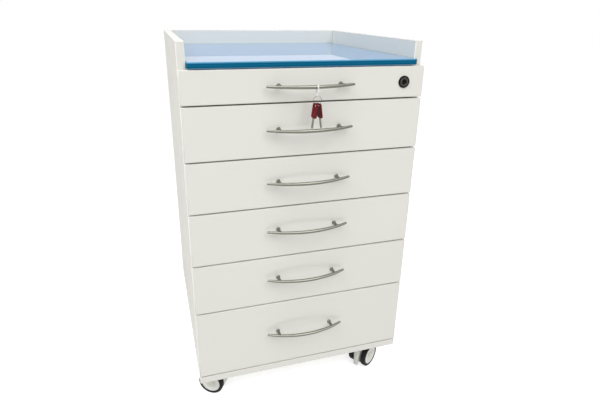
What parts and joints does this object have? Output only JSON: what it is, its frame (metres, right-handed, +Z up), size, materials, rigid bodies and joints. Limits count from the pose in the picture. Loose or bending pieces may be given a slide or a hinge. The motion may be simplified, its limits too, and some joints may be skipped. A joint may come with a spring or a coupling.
{
  "type": "mobile clinic drawer cabinet",
  "caption": "White drawer cabinet on swivel casters, with a blue-edged glass top inside a raised gallery, bow handles, a round cam lock and hanging keys.",
  "frame": {"origin": "on the floor under the middle of the whole outline, handles and keys included", "axes": "+Z up, -Y towards the drawer fronts and the user, +X to the user's right"},
  "size_m": [0.5, 0.54, 0.831],
  "materials": {
    "white_board": "gloss white lacquered board",
    "box_board": "white melamine board",
    "blue_glass": "polished float glass with a blue edge",
    "clear_pad": "clear soft pad",
    "steel": "zinc plated",
    "nickel": "satin nickel",
    "black_metal": "satin black",
    "nylon": "natural nylon",
    "red_plastic": "moulded dark red",
    "hood_plastic": "moulded pale grey",
    "hub_plastic": "moulded white",
    "tyre": "soft black tread"
  },
  "bodies": {
    "cabinet": {"side_panel_left": "white_board", "side_panel_right": "white_board", "back_panel": "white_board", "top_board": "white_board", "base_board": "white_board", "glass_top": "blue_glass", "glass_pads": "clear_pad", "cabinet_runners": "steel", "lock_striker": "steel", "caster_plates": "steel", "caster_kingpins": "steel", "caster_screws": "steel"},
    "drawer_1": {"drawer_front_1": "white_board", "drawer_box_1": "box_board", "drawer_runners_1": "steel", "handle_1": "nickel", "lock_body": "black_metal", "lock_nut": "steel"},
    "drawer_2": {"drawer_front_2": "white_board", "drawer_box_2": "box_board", "drawer_runners_2": "steel", "handle_2": "nickel"},
    "drawer_3": {"drawer_front_3": "white_board", "drawer_box_3": "box_board", "drawer_runners_3": "steel", "handle_3": "nickel"},
    "drawer_4": {"drawer_front_4": "white_board", "drawer_box_4": "box_board", "drawer_runners_4": "steel", "handle_4": "nickel"},
    "drawer_5": {"drawer_front_5": "white_board", "drawer_box_5": "box_board", "drawer_runners_5": "steel", "handle_5": "nickel"},
    "drawer_6": {"drawer_front_6": "white_board", "drawer_box_6": "box_board", "drawer_runners_6": "steel", "handle_6": "nickel"},
    "lock_cylinder": {"lock_plug": "black_metal", "lock_cam": "steel"},
    "key_loop": {"key_tie": "nylon", "key_ring": "steel"},
    "key_1": {"key_1": "red_plastic"},
    "key_2": {"key_2": "red_plastic"},
    "caster_1_swivel": {"caster_hood_1": "hood_plastic"},
    "caster_1_wheels": {"caster_axle_1": "steel", "caster_hubs_1": "hub_plastic", "caster_tyres_1": "tyre"},
    "caster_2_swivel": {"caster_hood_2": "hood_plastic"},
    "caster_2_wheels": {"caster_axle_2": "steel", "caster_hubs_2": "hub_plastic", "caster_tyres_2": "tyre"},
    "caster_3_swivel": {"caster_hood_3": "hood_plastic"},
    "caster_3_wheels": {"caster_axle_3": "steel", "caster_hubs_3": "hub_plastic", "caster_tyres_3": "tyre"},
    "caster_4_swivel": {"caster_hood_4": "hood_plastic"},
    "caster_4_wheels": {"caster_axle_4": "steel", "caster_hubs_4": "hub_plastic", "caster_tyres_4": "tyre"}
  },
  "joints": [
    {"name": "drawer_1_slide", "type": "slide", "parent": "cabinet", "child": "drawer_1", "axis": [0, -1, 0], "range_m": [0, 0.34]},
    {"name": "drawer_2_slide", "type": "slide", "parent": "cabinet", "child": "drawer_2", "axis": [0, -1, 0], "range_m": [0, 0.34]},
    {"name": "drawer_3_slide", "type": "slide", "parent": "cabinet", "child": "drawer_3", "axis": [0, -1, 0], "range_m": [0, 0.34]},
    {"name": "drawer_4_slide", "type": "slide", "parent": "cabinet", "child": "drawer_4", "axis": [0, -1, 0], "range_m": [0, 0.34]},
    {"name": "drawer_5_slide", "type": "slide", "parent": "cabinet", "child": "drawer_5", "axis": [0, -1, 0], "range_m": [0, 0.34]},
    {"name": "drawer_6_slide", "type": "slide", "parent": "cabinet", "child": "drawer_6", "axis": [0, -1, 0], "range_m": [0, 0.34]},
    {"name": "lock_turn", "type": "hinge", "parent": "drawer_1", "child": "lock_cylinder", "pos_m": [0.205, -0.22999, 0.75], "axis": [0, 1, 0], "range_deg": [0, 90]},
    {"name": "key_loop_swing", "type": "hinge", "parent": "drawer_1", "child": "key_loop", "pos_m": [0.005, -0.25993, 0.75], "axis": [-1, 0, 0], "range_deg": [-8, 75]},
    {"name": "key_1_swing", "type": "hinge", "parent": "key_loop", "child": "key_1", "pos_m": [0.0018, -0.25993, 0.71675], "axis": [-1, 0, 0], "range_deg": [-10, 30]},
    {"name": "key_2_swing", "type": "hinge", "parent": "key_loop", "child": "key_2", "pos_m": [0.0082, -0.25993, 0.71675], "axis": [-1, 0, 0], "range_deg": [-10, 30]},
    {"name": "caster_1_swivel", "type": "hinge", "parent": "cabinet", "child": "caster_1_swivel", "pos_m": [-0.197, -0.18099, 0], "axis": [0, 0, 1], "continuous": true},
    {"name": "caster_1_roll", "type": "hinge", "parent": "caster_1_swivel", "child": "caster_1_wheels", "pos_m": [-0.21142, -0.17198, 0.031], "axis": [-0.5299, -0.848, 0], "continuous": true},
    {"name": "caster_2_swivel", "type": "hinge", "parent": "cabinet", "child": "caster_2_swivel", "pos_m": [0.197, -0.18099, 0], "axis": [0, 0, 1], "continuous": true},
    {"name": "caster_2_roll", "type": "hinge", "parent": "caster_2_swivel", "child": "caster_2_wheels", "pos_m": [0.18274, -0.19025, 0.031], "axis": [0.5446, -0.8387, 0], "continuous": true},
    {"name": "caster_3_swivel", "type": "hinge", "parent": "cabinet", "child": "caster_3_swivel", "pos_m": [-0.197, 0.21401, 0], "axis": [0, 0, 1], "continuous": true},
    {"name": "caster_3_roll", "type": "hinge", "parent": "caster_3_swivel", "child": "caster_3_wheels", "pos_m": [-0.20675, 0.22794, 0.031], "axis": [-0.8192, -0.5736, 0], "continuous": true},
    {"name": "caster_4_swivel", "type": "hinge", "parent": "cabinet", "child": "caster_4_swivel", "pos_m": [0.197, 0.21401, 0], "axis": [0, 0, 1], "continuous": true},
    {"name": "caster_4_roll", "type": "hinge", "parent": "caster_4_swivel", "child": "caster_4_wheels", "pos_m": [0.18031, 0.21077, 0.031], "axis": [0.1908, -0.9816, 0], "continuous": true}
  ]
}
